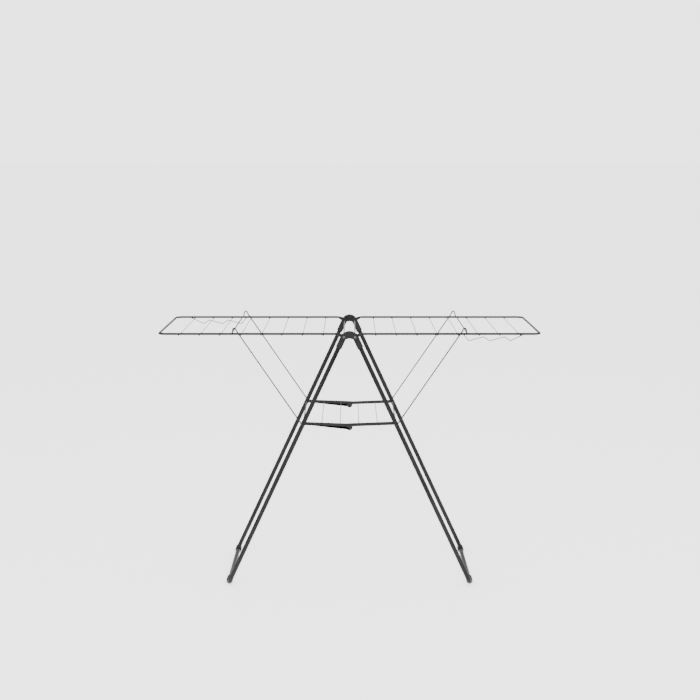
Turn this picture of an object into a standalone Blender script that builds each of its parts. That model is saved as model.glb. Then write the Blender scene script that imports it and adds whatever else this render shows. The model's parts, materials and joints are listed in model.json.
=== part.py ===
"""A free-standing folding clothes airer: an A-frame of two U-shaped leg frames under a hub crown at each end,
two wings that fold down, a wire strut that hooks over each wing, and a middle shelf that folds in two.

X runs across the wings, Y from the front to the back, Z up from the floor. Sizes are in metres.
"""

import math

import bmesh
import bpy
from mathutils import Vector

# Heights and the legs' slope
RAIL_Z = 1.031
PIVOT_Z = 1.0195
APEX_Z = 1.067
LEG_SLOPE = 0.4634
PIVOT_X = LEG_SLOPE * (APEX_Z - PIVOT_Z)
LOW_PIVOT_Z = 0.664
LOW_PIVOT_X = LEG_SLOPE * (APEX_Z - LOW_PIVOT_Z)
SHELF_MID_Z = 0.657

# Distances from the middle, front to back
RAIL_Y = 0.280
LEG_Y = 0.262
STRUT_Y = 0.2925

# Tubes and wires
LEG_R = 0.009
RAIL_R = 0.0045
WIRE_R = 0.0016
STRUT_R = 0.0025
ROD_R = 0.0025
GAP = 0.0003
RUNNING_GAP = 0.0005

# Wings
WING_END_X = 0.7575
WING_CORNER = 0.026
RAIL_START_X = 0.0500
FIRST_WIRE_X = 0.1045
WIRE_PITCH = 0.082
WIRES = 8
LUG_T = 0.006
LUG_R = 0.0085

# Hanger rail: a saw-tooth wire under one rail of each wing
TOOTH_START_X = 0.6985
TOOTH_RUN = 0.0590
TOOTH_RISE = 0.0235
TOOTH_DEPTH = 0.022
TEETH = 3

# Legs
FITTING_L = 0.052
FITTING_HALF_W = 0.0118
FITTING_HALF_T = 0.0095
FOOT_R = 0.0125
FOOT_L = 0.046
FOOT_Y = 0.212
LEG_CORNER = 0.024

# Hub crowns
CROWN_IN_Y = LEG_Y + FITTING_HALF_T + GAP + 0.0002
CROWN_OUT_Y = 0.2890
SLOT_FROM_X = 0.0125

# Shelf
BAR_HALF_H = 0.0065
BAR_T = 0.006
LEFT_BAR_Y = 0.2465
RIGHT_BAR_Y = 0.2395
KNUCKLE_R = 0.0125
KNUCKLE_DROP = 0.008
SHELF_WIRE_X = (0.0375, 0.1120)

BLACK = (0.022, 0.022, 0.023)
STEEL_BLACK = (0.030, 0.030, 0.031)
RUBBER = (0.012, 0.012, 0.012)
GREY_WIRE = (0.30, 0.30, 0.30)


def clear_scene():
    for old in list(bpy.data.objects):
        bpy.data.objects.remove(old, do_unlink=True)


def material(name, colour, roughness, metallic):
    made = bpy.data.materials.new(name)
    made.use_nodes = True
    shader = made.node_tree.nodes["Principled BSDF"]
    shader.inputs["Base Color"].default_value = (*colour, 1.0)
    shader.inputs["Roughness"].default_value = roughness
    shader.inputs["Metallic"].default_value = metallic
    return made


def empty(name, pivot, parent=None):
    """An empty on a joint's axis, at a place in world coordinates."""
    made = bpy.data.objects.new(name, None)
    made.empty_display_size = 0.03
    bpy.context.scene.collection.objects.link(made)
    made.parent = parent
    origin = Vector(parent["pivot"]) if parent else Vector((0, 0, 0))
    made["pivot"] = tuple(pivot)
    made.location = Vector(pivot) - origin
    return made


def add(name, data, finish, body):
    """Links an object whose data is drawn about its body's pivot."""
    made = bpy.data.objects.new(name, data)
    bpy.context.scene.collection.objects.link(made)
    made.data.materials.append(finish)
    made.parent = body
    return made


def tube(name, path, radius, finish, body, resolution=2):
    """A round tube or wire with closed ends along a path of world points."""
    curve = bpy.data.curves.new(name, "CURVE")
    curve.dimensions = "3D"
    curve.bevel_depth = radius
    curve.bevel_resolution = resolution
    curve.use_fill_caps = True
    spline = curve.splines.new("POLY")
    spline.points.add(len(path) - 1)
    pivot = Vector(body["pivot"])
    for point, place in zip(spline.points, path):
        point.co = (*(Vector(place) - pivot), 1.0)
    return add(name, curve, finish, body)


def prism(name, outline, y_low, y_high, finish, body):
    """A plate: an outline of (x, z) points, carried from one Y to another."""
    pivot = Vector(body["pivot"])
    mesh = bpy.data.meshes.new(name)
    work = bmesh.new()
    corners = [work.verts.new(Vector((x, y_low, z)) - pivot) for x, z in outline]
    face = work.faces.new(corners)
    grown = bmesh.ops.extrude_face_region(work, geom=[face])
    moved = [item for item in grown["geom"] if isinstance(item, bmesh.types.BMVert)]
    bmesh.ops.translate(work, vec=(0, y_high - y_low, 0), verts=moved)
    bmesh.ops.recalc_face_normals(work, faces=work.faces)
    work.to_mesh(mesh)
    work.free()
    return add(name, mesh, finish, body)


def cut(target, cutter):
    cutter.hide_render = True
    cutter.display_type = "WIRE"
    modifier = target.modifiers.new("cut", "BOOLEAN")
    modifier.operation = "DIFFERENCE"
    modifier.solver = "EXACT"
    modifier.object = cutter


def circle(centre, radius, sides, start=0.0):
    turns = [start + 2 * math.pi * i / sides for i in range(sides)]
    return [(centre[0] + radius * math.cos(t), centre[1] + radius * math.sin(t)) for t in turns]


def bore(target, centre, radius, y_low, y_high, body):
    """A round hole along Y."""
    outline = circle(centre, radius, 16)
    cut(target, prism(target.name + "_bore_cutter", outline, y_low, y_high, CUTTER, body))


def rounded(path, radius, steps=5):
    """The path with each inner corner turned into an arc-like blend of the given size."""
    made = [Vector(path[0])]
    for before, corner, after in zip(path, path[1:], path[2:]):
        corner = Vector(corner)
        to_before = (Vector(before) - corner).normalized()
        to_after = (Vector(after) - corner).normalized()
        half = to_before.angle(to_after) / 2
        setback = radius / math.tan(half)
        centre = corner + (to_before + to_after).normalized() * (radius / math.sin(half))
        first = corner + to_before * setback - centre
        last = corner + to_after * setback - centre
        sweep = first.angle(last)
        for i in range(steps + 1):
            t = i / steps
            weight_first = math.sin((1 - t) * sweep) / math.sin(sweep)
            weight_last = math.sin(t * sweep) / math.sin(sweep)
            made.append(centre + first * weight_first + last * weight_last)
    made.append(Vector(path[-1]))
    return made


def make_hub(body):
    """The two crowns, and the pivot rods that run between them."""
    half = [(0.0, 1.0425), (0.0110, 1.0410), (0.0235, 1.0340), (0.0335, 1.0215), (0.0350, 1.0110)]
    half += [(0.0270, 1.0085), (0.0120, 1.0105), (0.0, 1.0140)]
    outline = half + [(-x, z) for x, z in reversed(half[1:-1])]
    for end, side in (("front", -1), ("back", 1)):
        low, high = sorted((side * CROWN_IN_Y, side * CROWN_OUT_Y))
        crown = prism("hub_crown_" + end, outline, low, high, PLASTIC, body)
        slot_low, slot_high = sorted((side * (RAIL_Y - LUG_T / 2 - 0.0006), side * (RAIL_Y + LUG_T / 2 + 0.0006)))
        for hand in (-1, 1):
            x_low, x_high = sorted((hand * SLOT_FROM_X, hand * 0.06))
            slot = [(x_low, 0.99), (x_high, 0.99), (x_high, 1.06), (x_low, 1.06)]
            cut(crown, prism("slot_cutter", slot, slot_low, slot_high, CUTTER, body))
            bore(crown, (hand * PIVOT_X, PIVOT_Z), ROD_R + RUNNING_GAP, -0.32, 0.32, body)
    for word, hand in (("left", -1), ("right", 1)):
        ends = [(hand * PIVOT_X, -CROWN_OUT_Y - 0.001, PIVOT_Z), (hand * PIVOT_X, CROWN_OUT_Y + 0.001, PIVOT_Z)]
        tube("hub_pivot_rod_" + word, ends, ROD_R, METAL, body)
        for end, side in (("front", -1), ("back", 1)):
            low, high = sorted((side * (CROWN_OUT_Y + 0.0013), side * (CROWN_OUT_Y + 0.0033)))
            head = circle((hand * PIVOT_X, PIVOT_Z), 0.0055, 16)
            prism("hub_rivet_" + word + "_" + end, head, low, high, METAL, body)


def make_leg(word, hand, body):
    """One leg frame: end fittings, a U of tube, feet and the low pivot rod."""
    down = Vector((hand * LEG_SLOPE, 0, -1)).normalized()
    across = Vector((-down.z, 0, down.x))
    pivot = Vector((hand * PIVOT_X, 0, PIVOT_Z))

    def at(along, sideways):
        place = pivot + down * along + across * sideways
        return (place.x, place.z)

    top = [math.pi * (0.5 + i / 8) for i in range(9)]
    outline = [at(FITTING_HALF_W * math.cos(t), FITTING_HALF_W * math.sin(t)) for t in top]
    outline += [at(FITTING_L, -FITTING_HALF_W), at(FITTING_L, FITTING_HALF_W)]
    for end, side in (("front", -1), ("back", 1)):
        low = side * LEG_Y - FITTING_HALF_T
        fitting = prism(f"leg_fitting_{word}_{end}", outline, low, low + 2 * FITTING_HALF_T, PLASTIC, body)
        bore(fitting, at(0, 0), ROD_R + RUNNING_GAP, low - 0.01, low + 2 * FITTING_HALF_T + 0.01, body)
    length = (PIVOT_Z - FOOT_R) / -down.z
    start = pivot + down * (FITTING_L + GAP)
    foot = pivot + down * length
    shift = Vector((0, LEG_Y, 0))
    path = rounded([start - shift, foot - shift, foot + shift, start + shift], LEG_CORNER, 6)
    tube("leg_tube_" + word, path, LEG_R, STEEL, body)
    for end, side in (("front", -1), ("back", 1)):
        sleeve = circle((foot.x, foot.z), FOOT_R / math.cos(math.pi / 12), 12, math.pi / 12)
        low = side * FOOT_Y - FOOT_L / 2
        made = prism(f"foot_{word}_{end}", sleeve, low, low + FOOT_L, RUBBER_FINISH, body)
        bore(made, (foot.x, foot.z), LEG_R + 2 * GAP, low - 0.01, low + FOOT_L + 0.01, body)
    rod_end = LEG_Y - LEG_R - GAP
    rod = [(hand * LOW_PIVOT_X, -rod_end, LOW_PIVOT_Z), (hand * LOW_PIVOT_X, rod_end, LOW_PIVOT_Z)]
    tube("low_pivot_rod_" + word, rod, ROD_R, METAL, body)


def make_wing(word, hand, teeth_side, body):
    """One wing: lugs on the hub rods, a U of tube, cross wires and a saw-tooth hanger wire."""
    for end, side in (("front", -1), ("back", 1)):
        outline = [(PIVOT_X + LUG_R * math.cos(t), PIVOT_Z + LUG_R * math.sin(t))
                   for t in (math.radians(110 + i * 17) for i in range(12))]
        outline += [(RAIL_START_X - GAP, RAIL_Z - RAIL_R), (RAIL_START_X - GAP, RAIL_Z + RAIL_R)]
        outline = [(hand * x, z) for x, z in outline]
        low = side * RAIL_Y - LUG_T / 2
        lug = prism(f"wing_lug_{word}_{end}", outline, low, low + LUG_T, METAL, body)
        bore(lug, (hand * PIVOT_X, PIVOT_Z), ROD_R + RUNNING_GAP, low - 0.01, low + LUG_T + 0.01, body)
    corners = [(RAIL_START_X, -RAIL_Y), (WING_END_X, -RAIL_Y), (WING_END_X, RAIL_Y), (RAIL_START_X, RAIL_Y)]
    path = rounded([(hand * x, y, RAIL_Z) for x, y in corners], WING_CORNER, 6)
    tube("wing_rail_" + word, path, RAIL_R, STEEL, body)
    wire_z = RAIL_Z - RAIL_R - WIRE_R - GAP
    for i in range(WIRES):
        x = hand * (FIRST_WIRE_X + i * WIRE_PITCH)
        wire = [(x, -RAIL_Y - 0.003, wire_z), (x, RAIL_Y + 0.003, wire_z)]
        tube(f"wing_wire_{word}_{i + 1}", wire, WIRE_R, WIRE, body, 1)
    y = teeth_side * (RAIL_Y - RAIL_R - WIRE_R - GAP)
    x = TOOTH_START_X
    top_z = RAIL_Z
    saw = [(hand * x, y, top_z)]
    for i in range(TEETH):
        x -= TOOTH_RUN
        saw.append((hand * x, y, wire_z - TOOTH_DEPTH))
        x -= TOOTH_RISE
        saw.append((hand * x, y, wire_z - 0.006 if i < TEETH - 1 else top_z))
    return saw


def make_strut(word, hand, body):
    """One strut: a single bent wire from leg to leg, hooked over the top of the wing."""
    eye_y = LEG_Y + LEG_R + GAP
    cross_z = RAIL_Z + RAIL_R + STRUT_R + RUNNING_GAP
    profile = [(LOW_PIVOT_X, LOW_PIVOT_Z), (0.4455, 1.0420), (0.4520, 1.0555), (0.4605, 1.0545), (0.4640, cross_z)]
    front = [(hand * x, -STRUT_Y, z) for x, z in profile]
    back = [(x, -y, z) for x, y, z in reversed(front)]
    path = [(front[0][0], -eye_y, LOW_PIVOT_Z)] + front + back + [(front[0][0], eye_y, LOW_PIVOT_Z)]
    tube("strut_" + word, rounded(path, 0.0035, 3), STRUT_R, STEEL, body)


def make_shelf_half(word, hand, bar_y, body):
    """Half the shelf: two flat bars on the low pivot rod, each ending in a round knuckle, and cross wires."""
    outer = Vector((hand * LOW_PIVOT_X, 0, LOW_PIVOT_Z))
    along = (Vector((0, 0, SHELF_MID_Z)) - outer).normalized()
    above = Vector((-along.z, 0, along.x)) * (1 if along.x > 0 else -1)
    length = (Vector((0, 0, SHELF_MID_Z)) - outer).length

    def at(run, rise):
        place = outer + along * run + above * rise
        return (place.x, place.z)

    top = [math.radians(90 + i * 22.5) for i in range(9)]
    outline = [at(BAR_HALF_H * math.cos(t), BAR_HALF_H * math.sin(t)) for t in top]
    dip = math.asin((KNUCKLE_DROP - BAR_HALF_H) / KNUCKLE_R)
    for i in range(13):
        t = math.pi - dip + i * (math.pi + 2 * dip) / 12
        outline.append(at(length + KNUCKLE_R * math.cos(t), KNUCKLE_R * math.sin(t) - KNUCKLE_DROP))
    outline += [at(length + 0.0115, BAR_HALF_H - 0.003), at(length + 0.0085, BAR_HALF_H)]
    for end, side in (("front", -1), ("back", 1)):
        low = side * bar_y - BAR_T / 2
        bar = prism(f"shelf_bar_{word}_{end}", outline, low, low + BAR_T, STEEL, body)
        bore(bar, at(0, 0), ROD_R + RUNNING_GAP, low - 0.01, low + BAR_T + 0.01, body)
    wire_end = bar_y - BAR_T / 2 - GAP
    for i, x in enumerate(SHELF_WIRE_X):
        place_x, place_z = at(length - x, 0)
        wire = [(place_x, -wire_end, place_z), (place_x, wire_end, place_z)]
        tube(f"shelf_wire_{word}_{i + 1}", wire, WIRE_R, WIRE, body, 1)


clear_scene()
PLASTIC = material("hub_plastic", BLACK, 0.45, 0.0)
STEEL = material("black_steel", STEEL_BLACK, 0.38, 0.1)
METAL = material("pivot_steel", (0.35, 0.35, 0.36), 0.35, 0.9)
WIRE = material("wire_steel", GREY_WIRE, 0.4, 0.3)
RUBBER_FINISH = material("foot_rubber", RUBBER, 0.8, 0.0)
CUTTER = material("cutter", (1, 0, 0), 0.5, 0.0)

hub = empty("hub", (0, 0, 0))
make_hub(hub)
for side_word, side_hand, own_bar_y, teeth_end in (("left", -1, LEFT_BAR_Y, 1), ("right", 1, RIGHT_BAR_Y, -1)):
    leg = empty("leg_" + side_word, (side_hand * PIVOT_X, 0, PIVOT_Z), hub)
    wing = empty("wing_" + side_word, (side_hand * PIVOT_X, 0, PIVOT_Z), leg)
    strut = empty("strut_pivot_" + side_word, (side_hand * LOW_PIVOT_X, 0, LOW_PIVOT_Z), leg)
    shelf = empty("shelf_" + side_word, (side_hand * LOW_PIVOT_X, 0, LOW_PIVOT_Z), leg)
    make_leg(side_word, side_hand, leg)
    saw = make_wing(side_word, side_hand, teeth_end, wing)
    tube("hanger_wire_" + side_word, saw, WIRE_R, STEEL, wing, 1)
    make_strut(side_word, side_hand, strut)
    make_shelf_half(side_word, side_hand, own_bar_y, shelf)
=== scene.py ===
"""Looks of the folding clothes airer: coated tube and wire, moulded hub crowns, welds and rivets."""

import json
import math

import bmesh
import bpy
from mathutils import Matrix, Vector


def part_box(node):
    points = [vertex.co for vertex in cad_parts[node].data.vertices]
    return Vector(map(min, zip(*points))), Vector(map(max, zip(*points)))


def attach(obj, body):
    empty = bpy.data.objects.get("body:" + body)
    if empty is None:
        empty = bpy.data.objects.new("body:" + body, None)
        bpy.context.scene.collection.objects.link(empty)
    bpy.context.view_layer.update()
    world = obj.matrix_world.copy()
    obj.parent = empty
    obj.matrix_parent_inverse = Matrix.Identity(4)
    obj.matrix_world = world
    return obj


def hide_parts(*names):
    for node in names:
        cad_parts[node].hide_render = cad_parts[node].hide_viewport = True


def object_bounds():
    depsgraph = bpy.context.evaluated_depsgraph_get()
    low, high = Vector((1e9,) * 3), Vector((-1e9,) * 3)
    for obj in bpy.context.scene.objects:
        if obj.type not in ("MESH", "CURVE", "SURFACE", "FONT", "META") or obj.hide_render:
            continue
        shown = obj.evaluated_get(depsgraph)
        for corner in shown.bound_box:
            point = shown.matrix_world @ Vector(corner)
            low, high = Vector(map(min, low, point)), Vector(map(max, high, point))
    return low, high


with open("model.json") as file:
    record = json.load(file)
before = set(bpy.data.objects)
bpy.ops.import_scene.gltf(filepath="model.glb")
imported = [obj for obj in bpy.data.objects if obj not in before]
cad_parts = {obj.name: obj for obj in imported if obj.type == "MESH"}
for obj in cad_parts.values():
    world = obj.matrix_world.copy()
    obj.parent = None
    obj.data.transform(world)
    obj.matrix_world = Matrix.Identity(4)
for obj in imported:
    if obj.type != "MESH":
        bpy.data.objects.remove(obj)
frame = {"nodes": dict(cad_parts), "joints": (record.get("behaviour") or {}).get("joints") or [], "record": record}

CAD_LOW, CAD_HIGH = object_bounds()
JOINTS = {joint["name"]: joint for joint in frame["joints"]}
HANDS = (("left", -1), ("right", 1))
ENDS = (("front", -1), ("back", 1))

# Sizes that the frame's boxes do not give directly
GAP = 0.0003
RAIL_CORNER = 0.026
WIRES_PER_WING = 8

# The hanger wire's saw teeth
TEETH = 3
TOOTH_CORNER = 0.004
TOOTH_RUN = 0.0590
TOOTH_RISE = 0.0235
TOOTH_LOW = 0.006
TEETH_INSET = 0.9        # in wire radii, from the wire's outer end

# The leg tube, which starts this far down the leg from the hub rod's axis
LEG_RADIUS = 0.009
LEG_CORNER = 0.024
LEG_START = 0.0523

# The strut's hooked top, as (x, z) on the right side, and its lift above the wing's rails
HOOK_CORNER = 0.0035
HOOK_SHAPE = ((0.4455, 1.0420), (0.4520, 1.0555), (0.4605, 1.0545))
HOOK_END_X = 0.4640
HOOK_LIFT = 0.0005

# Weld beads, as (radius, length), set this many wire radii above the wire's centre
WIRE_WELD = (0.0026, 0.0040)
HANGER_WELD = (0.0030, 0.0052)
WELD_LIFT = 0.7
WELD_LUMP = 0.08

# The domed ends of a round bar, in bar radii
DOME_INSET = 0.3
DOME_DEPTH = 0.12

# Softened edges of the moulded and pressed pieces
MERGE_WITHIN = 1e-6
FLAT_ANGLE = math.radians(1)
EDGE_ANGLE = math.radians(35)
EDGE_SEGMENTS = 3

# Finishes
SHADE_SCALE = 9.0
GLOSS_SCALE = 60.0
GLOSS_BELOW = 0.06
GLOSS_ABOVE = 0.08
GRAIN_STRENGTH = 0.12

# Camera, lights and floor
SENSOR_MM = 36.0
FOCAL_PER_FRAME = 1.8844
CAMERA_BACK = 5.469
CAMERA_UP = 1.724
CAMERA_PITCH = math.radians(5.266)
SHIFT_Y = -0.1
SHIFT_X = 0.0007
WORLD_STRENGTH = 1.5
BACKDROP_STRENGTH = 3.1
FLOOR_GLOW = 1.75
FLOOR_REACH = 400.0
FLOOR_GAP = 0.0004


# ---------------------------------------------------------------- materials

def nodes_of(name, roughness, metallic=0.0, coat=0.0, specular=0.5):
    made = bpy.data.materials.new(name)
    made.use_nodes = True
    shader = made.node_tree.nodes["Principled BSDF"]
    shader.inputs["Roughness"].default_value = roughness
    shader.inputs["Metallic"].default_value = metallic
    shader.inputs["Coat Weight"].default_value = coat
    shader.inputs["Coat Roughness"].default_value = 0.3
    shader.inputs["Specular IOR Level"].default_value = specular
    return made, made.node_tree, shader


def noise(tree, scale, detail=3.0):
    place = tree.nodes.new("ShaderNodeTexCoord")
    made = tree.nodes.new("ShaderNodeTexNoise")
    made.inputs["Scale"].default_value = scale
    made.inputs["Detail"].default_value = detail
    tree.links.new(place.outputs["Object"], made.inputs["Vector"])
    return made


def ramp(tree, source, low, high, start=0.35, stop=0.65):
    made = tree.nodes.new("ShaderNodeValToRGB")
    made.color_ramp.elements[0].position = start
    made.color_ramp.elements[1].position = stop
    made.color_ramp.elements[0].color = (*low, 1.0)
    made.color_ramp.elements[1].color = (*high, 1.0)
    tree.links.new(source, made.inputs["Fac"])
    return made


def spread(tree, source, low, high):
    made = tree.nodes.new("ShaderNodeMapRange")
    made.inputs["To Min"].default_value = low
    made.inputs["To Max"].default_value = high
    tree.links.new(source, made.inputs["Value"])
    return made


def bump(tree, shader, source, strength, distance):
    made = tree.nodes.new("ShaderNodeBump")
    made.inputs["Strength"].default_value = strength
    made.inputs["Distance"].default_value = distance
    tree.links.new(source, made.inputs["Height"])
    tree.links.new(made.outputs["Normal"], shader.inputs["Normal"])


def coated(name, low, high, rough, grain_scale, grain_depth, metallic=0.0, coat=0.0, specular=0.16):
    """A finish with a slow shift of shade and roughness, and a fine surface grain."""
    made, tree, shader = nodes_of(name, rough, metallic, coat, specular)
    slow = noise(tree, SHADE_SCALE)
    shade = ramp(tree, slow.outputs["Fac"], low, high)
    tree.links.new(shade.outputs["Color"], shader.inputs["Base Color"])
    gloss = noise(tree, GLOSS_SCALE)
    roughness = spread(tree, gloss.outputs["Fac"], rough - GLOSS_BELOW, rough + GLOSS_ABOVE)
    tree.links.new(roughness.outputs["Result"], shader.inputs["Roughness"])
    grain = noise(tree, grain_scale, 2.0)
    bump(tree, shader, grain.outputs["Fac"], GRAIN_STRENGTH, grain_depth)
    return made


TUBE = coated("powder_coat_black", (0.010, 0.010, 0.0105), (0.016, 0.016, 0.0165), 0.42, 900.0, 0.00012)
RAIL = coated("powder_coat_rail", (0.008, 0.008, 0.0085), (0.013, 0.013, 0.0135), 0.44, 900.0, 0.00010)
WIRE = coated("coated_wire", (0.055, 0.055, 0.057), (0.080, 0.080, 0.082), 0.40, 1200.0, 0.00006, 0.2)
PLASTIC = coated("moulded_plastic", (0.008, 0.008, 0.0085), (0.013, 0.013, 0.0135), 0.50, 1600.0, 0.00010)
PIVOT = coated("dark_zinc", (0.060, 0.060, 0.063), (0.110, 0.110, 0.115), 0.36, 700.0, 0.00006, 0.75)
RUBBER = coated("foot_rubber", (0.006, 0.006, 0.006), (0.011, 0.011, 0.011), 0.78, 1400.0, 0.00015)


# ---------------------------------------------------------------- shapes

def link(name, data, finish):
    made = bpy.data.objects.new(name, data)
    bpy.context.scene.collection.objects.link(made)
    made.data.materials.clear()
    made.data.materials.append(finish)
    return made


def rounded(path, radius, steps=10):
    """The path with each corner turned into an arc of that radius."""
    made = [Vector(path[0])]
    for before, corner, after in zip(path, path[1:], path[2:]):
        corner = Vector(corner)
        to_before = (Vector(before) - corner).normalized()
        to_after = (Vector(after) - corner).normalized()
        half = to_before.angle(to_after) / 2
        setback = radius / math.tan(half)
        centre = corner + (to_before + to_after).normalized() * (radius / math.sin(half))
        first = corner + to_before * setback - centre
        last = corner + to_after * setback - centre
        sweep = first.angle(last)
        for i in range(steps + 1):
            t = i / steps
            turned = first * math.sin((1 - t) * sweep) + last * math.sin(t * sweep)
            made.append(centre + turned / math.sin(sweep))
    made.append(Vector(path[-1]))
    return made


def swept(name, path, radius, finish, sides):
    """A round bar along a path, its rings turned with it, with domed ends."""
    work = bmesh.new()
    path = [Vector(p) for p in path]
    rings = []
    normal = None
    count = len(path)
    for i, place in enumerate(path):
        ahead = (path[min(i + 1, count - 1)] - path[max(i - 1, 0)]).normalized()
        if normal is None:
            normal = ahead.orthogonal().normalized()
        normal = (normal - ahead * normal.dot(ahead)).normalized()
        side = ahead.cross(normal)
        ring = []
        for k in range(sides):
            t = 2 * math.pi * k / sides
            ring.append(work.verts.new(place + (normal * math.cos(t) + side * math.sin(t)) * radius))
        rings.append(ring)
    for one, two in zip(rings, rings[1:]):
        for k in range(sides):
            face = work.faces.new((one[k], one[(k + 1) % sides], two[(k + 1) % sides], two[k]))
            face.smooth = True
    for ring, flip in ((rings[0], True), (rings[-1], False)):
        face = work.faces.new(list(reversed(ring)) if flip else ring)
        inset, depth = radius * DOME_INSET, radius * DOME_DEPTH
        inner = bmesh.ops.inset_region(work, faces=[face], thickness=inset, depth=depth)
        for item in inner["faces"]:
            item.smooth = True
    bmesh.ops.recalc_face_normals(work, faces=work.faces)
    mesh = bpy.data.meshes.new(name)
    work.to_mesh(mesh)
    work.free()
    return link(name, mesh, finish)


def bead(name, centre, along, size, finish):
    """A weld bead: a flattened, slightly lumpy blob where a wire meets a rail."""
    radius, length = size
    work = bmesh.new()
    bmesh.ops.create_uvsphere(work, u_segments=14, v_segments=8, radius=1.0)
    along = Vector(along).normalized()
    for vert in work.verts:
        lump = 1 + WELD_LUMP * math.sin(5 * vert.co.x + 3 * vert.co.y)
        vert.co = Vector((vert.co.x * radius, vert.co.y * radius, vert.co.z * length)) * lump
    turn = Vector((0, 0, 1)).rotation_difference(along).to_matrix().to_4x4()
    bmesh.ops.transform(work, matrix=turn, verts=work.verts)
    bmesh.ops.translate(work, vec=Vector(centre), verts=work.verts)
    for face in work.faces:
        face.smooth = True
    mesh = bpy.data.meshes.new(name)
    work.to_mesh(mesh)
    work.free()
    return link(name, mesh, finish)


def own(piece, body, slot, *nodes):
    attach(piece, body)
    if nodes:
        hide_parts(*nodes)
    return piece


def middle(node):
    low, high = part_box(node)
    return (low + high) / 2


# ---------------------------------------------------------------- camera, light, floor

def camera():
    """A distant camera in front of the airer, a little above it and looking slightly down."""
    data = bpy.data.cameras.new("camera")
    data.sensor_width = SENSOR_MM
    data.lens = SENSOR_MM * FOCAL_PER_FRAME
    data.shift_y = SHIFT_Y
    data.shift_x = SHIFT_X
    made = bpy.data.objects.new("camera", data)
    bpy.context.scene.collection.objects.link(made)
    made.location = (0.0, -CAMERA_BACK, CAMERA_UP)
    made.rotation_euler = (math.radians(90) - CAMERA_PITCH, 0.0, 0.0)
    bpy.context.scene.camera = made


def area(name, place, target, size, power):
    data = bpy.data.lights.new(name, "AREA")
    data.shape = "SQUARE"
    data.size = size
    data.energy = power
    made = bpy.data.objects.new(name, data)
    bpy.context.scene.collection.objects.link(made)
    made.location = place
    made.rotation_euler = (Vector(target) - Vector(place)).to_track_quat("-Z", "Y").to_euler()


def studio():
    """An even pale room: three soft lights, a glowing floor, and a world that the camera sees brighter."""
    world = bpy.data.worlds.new("studio")
    world.use_nodes = True
    world.node_tree.nodes["Background"].inputs["Color"].default_value = (1.0, 1.0, 1.0, 1.0)
    path = world.node_tree.nodes.new("ShaderNodeLightPath")
    seen = world.node_tree.nodes.new("ShaderNodeMapRange")
    seen.inputs["To Min"].default_value = WORLD_STRENGTH
    seen.inputs["To Max"].default_value = BACKDROP_STRENGTH
    world.node_tree.links.new(path.outputs["Is Camera Ray"], seen.inputs["Value"])
    strength = world.node_tree.nodes["Background"].inputs["Strength"]
    world.node_tree.links.new(seen.outputs["Result"], strength)
    bpy.context.scene.world = world
    area("key", (-2.6, -3.4, 4.2), (0, 0, 0.6), 3.0, 90.0)
    area("fill", (3.2, -2.4, 3.0), (0, 0, 0.6), 3.0, 50.0)
    area("top", (0.0, 0.6, 4.6), (0, 0, 0.4), 4.0, 60.0)
    mesh = bpy.data.meshes.new("floor")
    reach = FLOOR_REACH
    corners = [(-reach, -reach, 0), (reach, -reach, 0), (reach, reach, 0), (-reach, reach, 0)]
    mesh.from_pydata(corners, [], [(0, 1, 2, 3)])
    finish, _, shader = nodes_of("pale_floor", 0.9, specular=0.2)
    shader.inputs["Base Color"].default_value = (0.80, 0.80, 0.80, 1.0)
    shader.inputs["Emission Color"].default_value = (1.0, 1.0, 1.0, 1.0)
    shader.inputs["Emission Strength"].default_value = FLOOR_GLOW
    floor = link("floor", mesh, finish)
    floor.location.z = CAD_LOW.z - FLOOR_GAP


# ---------------------------------------------------------------- pieces

def make_wing(word, hand):
    """A wing's bent rail, its cross wires with a weld at each end, and its saw-tooth hanger wire."""
    body = "wing_" + word
    rail = "wing_rail_" + word
    low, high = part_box(rail)
    radius = (high.z - low.z) / 2
    z = (low.z + high.z) / 2
    near, far = sorted((abs(low.x), abs(high.x)))
    y = high.y - radius
    far -= radius
    corners = [(hand * near, -y, z), (hand * far, -y, z), (hand * far, y, z), (hand * near, y, z)]
    path = rounded(corners, RAIL_CORNER)
    own(swept("wing_rail_smooth_" + word, path, radius, RAIL, 28), body, "black_steel", rail)
    for i in range(WIRES_PER_WING):
        node = f"wing_wire_{word}_{i + 1}"
        low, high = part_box(node)
        thick = (high.z - low.z) / 2
        centre = (low + high) / 2
        line = [(centre.x, low.y, centre.z), (centre.x, high.y, centre.z)]
        own(swept(f"cross_wire_{word}_{i + 1}", line, thick, WIRE, 16), body, "wire_steel", node)
        for end, side in ENDS:
            spot = (centre.x, side * y, centre.z + thick * WELD_LIFT)
            weld = bead(f"weld_{word}_{i + 1}_{end}", spot, (0, 1, 0), WIRE_WELD, RAIL)
            own(weld, body, "black_steel")
    node = "hanger_wire_" + word
    low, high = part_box(node)
    thick = (high.y - low.y) / 2
    line_y = (high.y + low.y) / 2
    deep = low.z + thick
    x = max(abs(low.x), abs(high.x)) - thick * TEETH_INSET
    wire_z = middle(f"wing_wire_{word}_1").z
    saw = [(hand * x, line_y, z)]
    for i in range(TEETH):
        x -= TOOTH_RUN
        saw.append((hand * x, line_y, deep))
        x -= TOOTH_RISE
        saw.append((hand * x, line_y, wire_z - TOOTH_LOW if i < TEETH - 1 else z))
    teeth = rounded(saw, TOOTH_CORNER, 6)
    own(swept("hanger_teeth_" + word, teeth, thick, RAIL, 16), body, "black_steel", node)
    for tag, spot in (("outer", saw[0]), ("inner", saw[-1])):
        weld = bead(f"hanger_weld_{word}_{tag}", spot, (1, 0, 0), HANGER_WELD, RAIL)
        own(weld, body, "black_steel")


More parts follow.
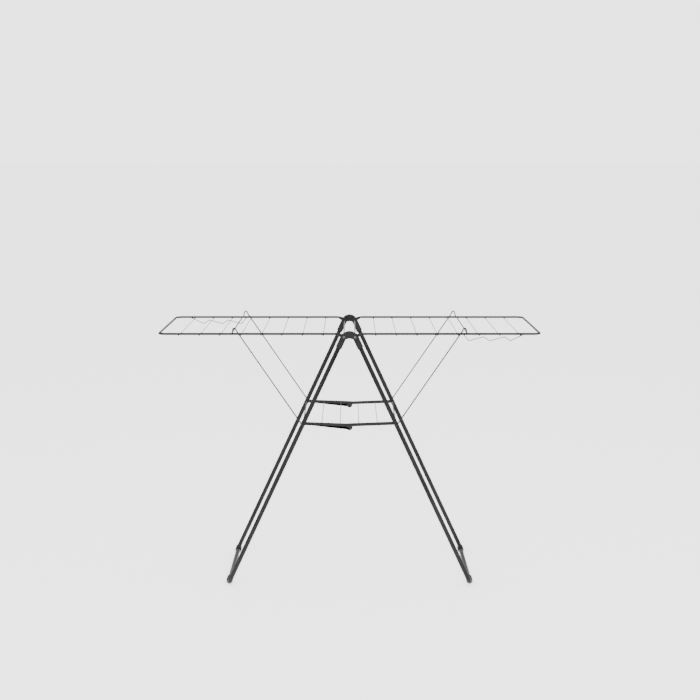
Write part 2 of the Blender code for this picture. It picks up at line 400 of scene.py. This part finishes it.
def make_strut(word, hand):
    """A strut: one wire up from the low pivot, hooked over the wing's rails, across, and down again."""
    node = "strut_" + word
    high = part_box(node)[1]
    joint = JOINTS[f"strut_{word}_swing"]["pos_m"]
    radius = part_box("low_pivot_rod_" + word)[1].z - joint[2]
    y = high.y - radius
    eye_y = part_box("leg_tube_" + word)[1].y + GAP
    cross_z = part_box("wing_rail_" + word)[1].z + radius + HOOK_LIFT
    profile = [(abs(joint[0]), joint[2]), *HOOK_SHAPE, (HOOK_END_X, cross_z)]
    front = [(hand * x, -y, z) for x, z in profile]
    back = [(x, -v, z) for x, v, z in reversed(front)]
    path = [(front[0][0], -eye_y, joint[2])] + front + back + [(front[0][0], eye_y, joint[2])]
    wire = swept("strut_wire_" + word, rounded(path, HOOK_CORNER, 8), radius, RAIL, 20)
    own(wire, node, "black_steel", node)


def make_leg(word):
    """A leg frame: one tube down from the hub, across the floor between the feet, and up again."""
    body = "leg_" + word
    node = "leg_tube_" + word
    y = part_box(node)[1].y - LEG_RADIUS
    hub = Vector(JOINTS[f"leg_{word}_fold"]["pos_m"])
    foot_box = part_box(f"foot_{word}_front")
    foot = (foot_box[0] + foot_box[1]) / 2
    down = (Vector((foot.x, 0, foot.z)) - Vector((hub.x, 0, hub.z))).normalized()
    start = Vector((hub.x, 0, hub.z)) + down * LEG_START
    end = Vector((foot.x, 0, foot.z))
    shift = Vector((0, y, 0))
    path = rounded([start - shift, end - shift, end + shift, start + shift], LEG_CORNER)
    own(swept("leg_frame_" + word, path, LEG_RADIUS, TUBE, 36), body, "black_steel", node)


def softened(node, body, slot, width, finish):
    """A CAD piece with its edges rounded over, as moulding or pressing leaves them.

    Known fault: the left shelf bars come out with stray faces between the knuckle and the outer end.
    """
    work = bmesh.new()
    work.from_mesh(frame["nodes"][node].data)
    bmesh.ops.remove_doubles(work, verts=work.verts, dist=MERGE_WITHIN)
    bmesh.ops.dissolve_limit(work, angle_limit=FLAT_ANGLE, verts=work.verts, edges=work.edges)
    mesh = bpy.data.meshes.new(node + "_smooth")
    work.to_mesh(mesh)
    work.free()
    made = link(node + "_smooth", mesh, finish)
    soft = made.modifiers.new("edges", "BEVEL")
    soft.width = width
    soft.segments = EDGE_SEGMENTS
    soft.limit_method = "ANGLE"
    soft.angle_limit = EDGE_ANGLE
    shading = made.modifiers.new("shade", "WEIGHTED_NORMAL")
    shading.keep_sharp = True
    own(made, body, slot, node)


def dress_nodes():
    """Moulded and pressed pieces get rounded edges; rods and shelf wires are swept along their CAD boxes."""
    kinds = {
        "hub_crown": (PLASTIC, "hub_plastic", 0.0016),
        "leg_fitting": (PLASTIC, "hub_plastic", 0.0014),
        "hub_rivet": (PIVOT, "pivot_steel", 0.0007),
        "wing_lug": (RAIL, "pivot_steel", 0.0008),
        "shelf_bar": (TUBE, "black_steel", 0.0012),
        "foot": (RUBBER, "foot_rubber", 0.0012),
    }
    for body, members in frame["record"]["behaviour"]["bodies"].items():
        for node in members:
            for start, (finish, slot, width) in kinds.items():
                if node.startswith(start):
                    softened(node, body, slot, width, finish)
            if node.startswith(("hub_pivot", "low_pivot", "shelf_wire")):
                low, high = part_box(node)
                centre = (low + high) / 2
                line = [(centre.x, low.y, centre.z), (centre.x, high.y, centre.z)]
                thick = (high.z - low.z) / 2
                finish, slot = (WIRE, "wire_steel") if node.startswith("shelf") else (PIVOT, "pivot_steel")
                own(swept(node + "_smooth", line, thick, finish, 20), body, slot, node)


camera()
studio()
for side_word, side_hand in HANDS:
    make_wing(side_word, side_hand)
    make_strut(side_word, side_hand)
    make_leg(side_word)
dress_nodes()
